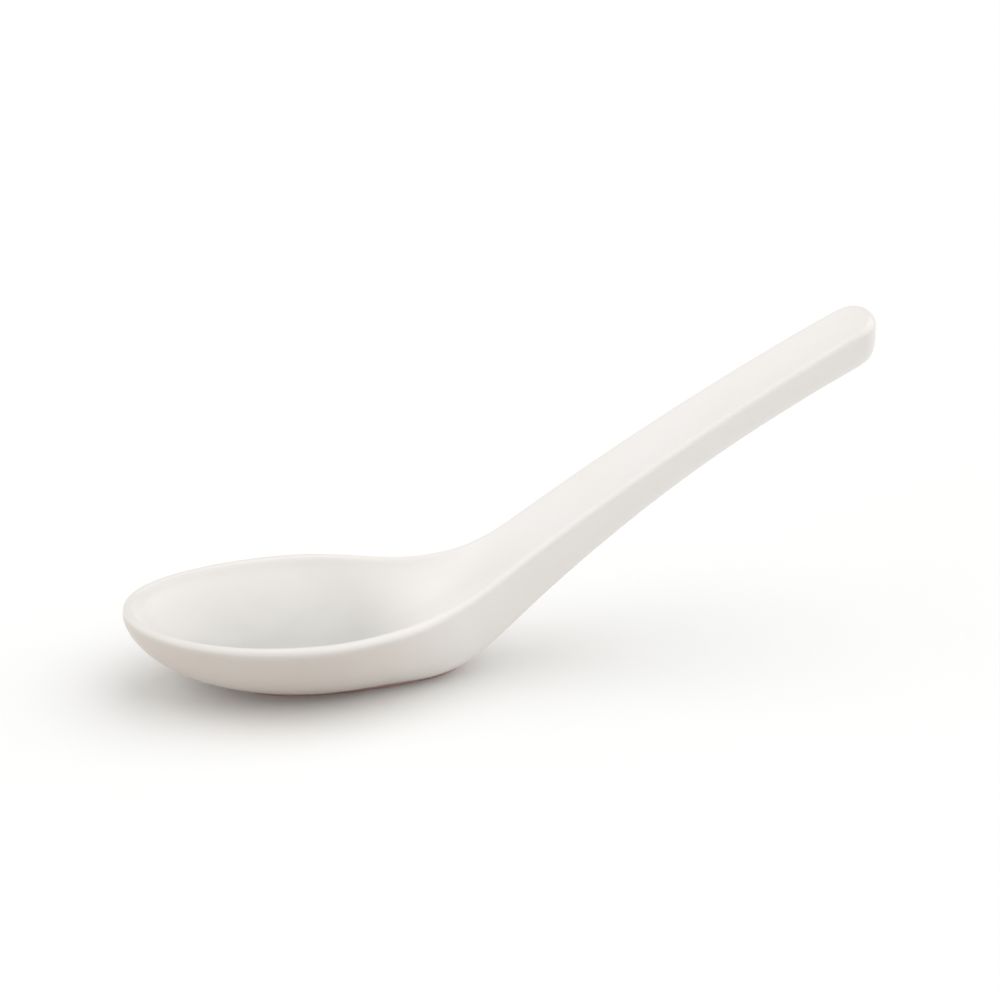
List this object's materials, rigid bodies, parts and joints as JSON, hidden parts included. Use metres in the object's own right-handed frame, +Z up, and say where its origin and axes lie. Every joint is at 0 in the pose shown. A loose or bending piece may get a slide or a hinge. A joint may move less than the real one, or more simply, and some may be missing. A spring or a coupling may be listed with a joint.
{
  "type": "chinese soup spoon",
  "caption": "Glazed porcelain soup spoon with an oval flat-footed bowl and a thick handle that rises from the back of the bowl.",
  "frame": {"origin": "middle of the flat foot, on the table", "axes": "+X along the spoon toward the end of the handle, +Y across the bowl, +Z up"},
  "size_m": [0.135, 0.043, 0.0612],
  "materials": {
    "bare_clay": "matte, unglazed",
    "glaze": "gloss, warm white"
  },
  "bodies": {
    "root": {"porcelain_body": "bare_clay", "glaze_coat": "glaze"}
  },
  "joints": []
}
